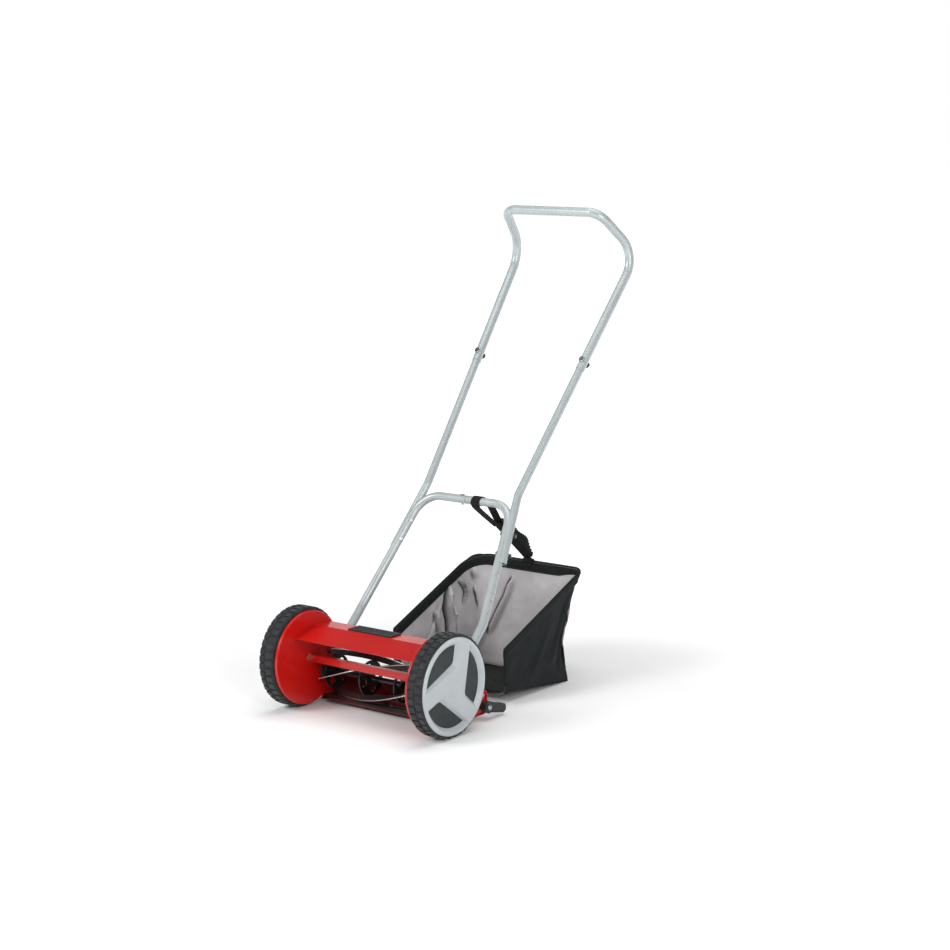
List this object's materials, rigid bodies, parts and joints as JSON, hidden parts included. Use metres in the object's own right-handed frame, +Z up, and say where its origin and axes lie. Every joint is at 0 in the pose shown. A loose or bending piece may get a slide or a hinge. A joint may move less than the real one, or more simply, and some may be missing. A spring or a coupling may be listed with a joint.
{
  "type": "reel mower",
  "caption": "Push reel mower: two geared wheels drive a helical blade reel over a bedknife, with rear roller, bent tube handle and a hung grass bag.",
  "frame": {"origin": "on the ground, straight under the middle of the wheel axis", "axes": "+Z up, -Y the way the mower is pushed, +Y towards the user, +X and -X the two wheels; the wheel and reel axes lie along X"},
  "size_m": [0.433, 0.8143, 1.01],
  "materials": {
    "red_paint": "gloss red paint",
    "red_paint_dark": "dark red paint",
    "ground_steel": "ground steel",
    "zinc": "bright zinc plate",
    "gear_steel": "sintered steel",
    "bearing_nylon": "natural nylon",
    "tyre_black": "moulded tyre, matt black",
    "rim_plastic": "black moulded plastic",
    "cap_grey": "satin light grey plastic",
    "insert_plastic": "charcoal plastic",
    "black_paint": "black paint",
    "black_plastic": "black plastic",
    "tube_paint": "silver grey powder coat",
    "bag_cloth": "coated cloth and mesh",
    "wire_black": "black coated wire",
    "webbing": "woven webbing"
  },
  "bodies": {
    "deck": {"side_plate_right": "red_paint", "side_plate_left": "red_paint", "cover": "red_paint", "cover_insert": "insert_plastic", "cover_tabs": "red_paint", "tie_bar": "red_paint", "bedknife_carrier": "red_paint_dark", "bedknife_blade": "black_paint", "bedknife_screws": "zinc", "frame_bolts": "zinc", "wheel_axle_right": "ground_steel", "wheel_axle_left": "ground_steel", "axle_clips": "zinc", "reel_bearing_right": "bearing_nylon", "reel_bearing_left": "bearing_nylon", "handle_pivot_bolts": "zinc", "handle_pivot_nuts": "zinc", "handle_stop_pins": "zinc", "bag_hook_pins": "zinc"},
    "right_wheel": {"tyre_right": "tyre_black", "wheel_rim_right": "rim_plastic", "wheel_bush_right": "bearing_nylon", "hub_cap_right": "cap_grey", "hub_inserts_right": "insert_plastic"},
    "left_wheel": {"tyre_left": "tyre_black", "wheel_rim_left": "rim_plastic", "wheel_bush_left": "bearing_nylon", "hub_cap_left": "cap_grey", "hub_inserts_left": "insert_plastic"},
    "reel": {"reel_shaft": "ground_steel", "reel_spiders": "black_paint", "reel_blade_1": "black_paint", "reel_blade_2": "black_paint", "reel_blade_3": "black_paint", "reel_blade_4": "black_paint", "drive_pinion_right": "gear_steel"},
    "left_pinion": {"free_pinion_left": "gear_steel"},
    "roller_carrier": {"height_lever_right": "black_plastic", "height_lever_left": "black_plastic", "roller_arm_right": "black_paint", "roller_arm_left": "black_paint", "lift_screws": "zinc", "roller_axle": "ground_steel"},
    "roller": {"roller_tube": "black_plastic", "roller_caps": "black_plastic"},
    "handle": {"lower_handle_right": "tube_paint", "lower_handle_left": "tube_paint", "crossbar_sleeve": "tube_paint", "crossbar_screw": "zinc", "middle_tube_right": "tube_paint", "middle_tube_left": "tube_paint", "lap_bolts": "zinc", "lap_nuts": "black_plastic", "upper_handle": "tube_paint", "joint_bolts": "zinc", "joint_nuts": "black_plastic"},
    "strap": {"bag_strap": "webbing"},
    "bag": {"bag_fabric": "bag_cloth", "bag_wire": "wire_black"}
  },
  "joints": [
    {"name": "right_wheel_spin", "type": "hinge", "parent": "deck", "child": "right_wheel", "pos_m": [0, 0, 0.105], "axis": [1, 0, 0], "continuous": true},
    {"name": "left_wheel_spin", "type": "hinge", "parent": "deck", "child": "left_wheel", "pos_m": [0, 0, 0.105], "axis": [1, 0, 0], "continuous": true},
    {"name": "reel_spin", "type": "hinge", "parent": "deck", "child": "reel", "pos_m": [0, 0.052, 0.06943], "axis": [1, 0, 0], "continuous": true},
    {"name": "left_pinion_spin", "type": "hinge", "parent": "deck", "child": "left_pinion", "pos_m": [0, 0.052, 0.06943], "axis": [1, 0, 0], "continuous": true},
    {"name": "height_adjust", "type": "hinge", "parent": "deck", "child": "roller_carrier", "pos_m": [0, 0.142, 0.027], "axis": [1, 0, 0], "range_deg": [0, 50]},
    {"name": "roller_spin", "type": "hinge", "parent": "roller_carrier", "child": "roller", "pos_m": [0, 0.116, 0.0225], "axis": [1, 0, 0], "continuous": true},
    {"name": "handle_fold", "type": "hinge", "parent": "deck", "child": "handle", "pos_m": [0, 0.08, 0.106], "axis": [1, 0, 0], "range_deg": [0, 24]},
    {"name": "strap_swing", "type": "hinge", "parent": "handle", "child": "strap", "pos_m": [0, 0.321, 0.407], "axis": [1, 0, 0], "range_deg": [-8.5, 0]},
    {"name": "bag_lift", "type": "hinge", "parent": "deck", "child": "bag", "pos_m": [0, 0.148, 0.048], "axis": [1, 0, 0], "range_deg": [0, 23.5]}
  ],
  "couplings": [
    {"joint": "reel_spin", "follows": "right_wheel_spin", "ratio": 5.8462},
    {"joint": "left_pinion_spin", "follows": "left_wheel_spin", "ratio": 5.8462},
    {"joint": "strap_swing", "follows": "handle_fold", "ratio": -0.345},
    {"joint": "bag_lift", "follows": "handle_fold", "ratio": 0.97}
  ]
}
